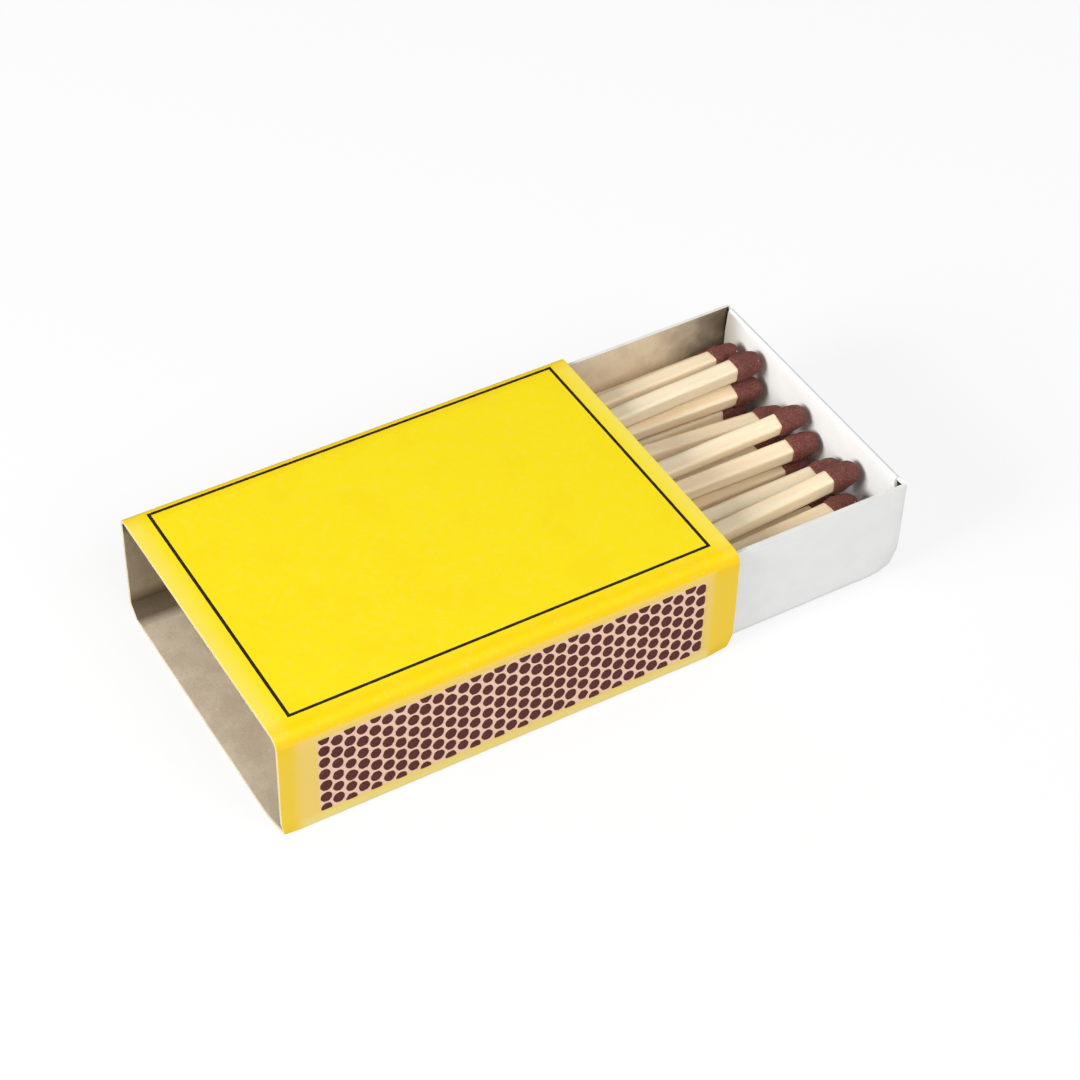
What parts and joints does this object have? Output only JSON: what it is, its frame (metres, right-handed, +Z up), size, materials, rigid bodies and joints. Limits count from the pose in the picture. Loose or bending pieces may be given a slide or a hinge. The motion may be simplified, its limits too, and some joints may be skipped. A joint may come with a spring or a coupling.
{
  "type": "matchbox",
  "caption": "Slide-open matchbox: a folded card sleeve with striking strips, a card tray that slides out of either end, and wooden matches lying in it.",
  "frame": {"origin": "centre of the sleeve's underside", "axes": "+X the way the tray is pulled out, +Y towards the back striking strip, +Z up out of the printed top"},
  "size_m": [0.0749, 0.0362, 0.0141],
  "materials": {
    "yellow_card": "satin print on thin card",
    "white_card": "plain uncoated card",
    "black_ink": "flat print",
    "striker": "rough abrasive dots on pale card",
    "match_wood": "raw split wood",
    "match_head": "dull, slightly bumpy coat"
  },
  "bodies": {
    "sleeve": {"sleeve": "yellow_card", "printed_frame": "black_ink", "striker_front": "striker", "striker_back": "striker"},
    "tray": {"tray": "white_card", "match_splint_01": "match_wood", "match_splint_02": "match_wood", "match_splint_03": "match_wood", "match_splint_04": "match_wood", "match_splint_05": "match_wood", "match_splint_06": "match_wood", "match_splint_07": "match_wood", "match_splint_08": "match_wood", "match_splint_09": "match_wood", "match_splint_10": "match_wood", "match_splint_11": "match_wood", "match_splint_12": "match_wood", "match_splint_13": "match_wood", "match_splint_14": "match_wood", "match_splint_15": "match_wood", "match_splint_16": "match_wood", "match_splint_17": "match_wood", "match_splint_18": "match_wood", "match_splint_19": "match_wood", "match_splint_20": "match_wood", "match_splint_21": "match_wood", "match_splint_22": "match_wood", "match_splint_23": "match_wood", "match_splint_24": "match_wood", "match_splint_25": "match_wood", "match_splint_26": "match_wood", "match_splint_27": "match_wood", "match_head_01": "match_head", "match_head_02": "match_head", "match_head_03": "match_head", "match_head_04": "match_head", "match_head_05": "match_head", "match_head_06": "match_head", "match_head_07": "match_head", "match_head_08": "match_head", "match_head_09": "match_head", "match_head_10": "match_head", "match_head_11": "match_head", "match_head_12": "match_head", "match_head_13": "match_head", "match_head_14": "match_head", "match_head_15": "match_head", "match_head_16": "match_head", "match_head_17": "match_head", "match_head_18": "match_head", "match_head_19": "match_head", "match_head_20": "match_head", "match_head_21": "match_head", "match_head_22": "match_head", "match_head_23": "match_head", "match_head_24": "match_head", "match_head_25": "match_head", "match_head_26": "match_head", "match_head_27": "match_head"}
  },
  "joints": [
    {"name": "tray_slide", "type": "slide", "parent": "sleeve", "child": "tray", "axis": [1, 0, 0], "range_m": [-0.0669, 0.0231]}
  ]
}
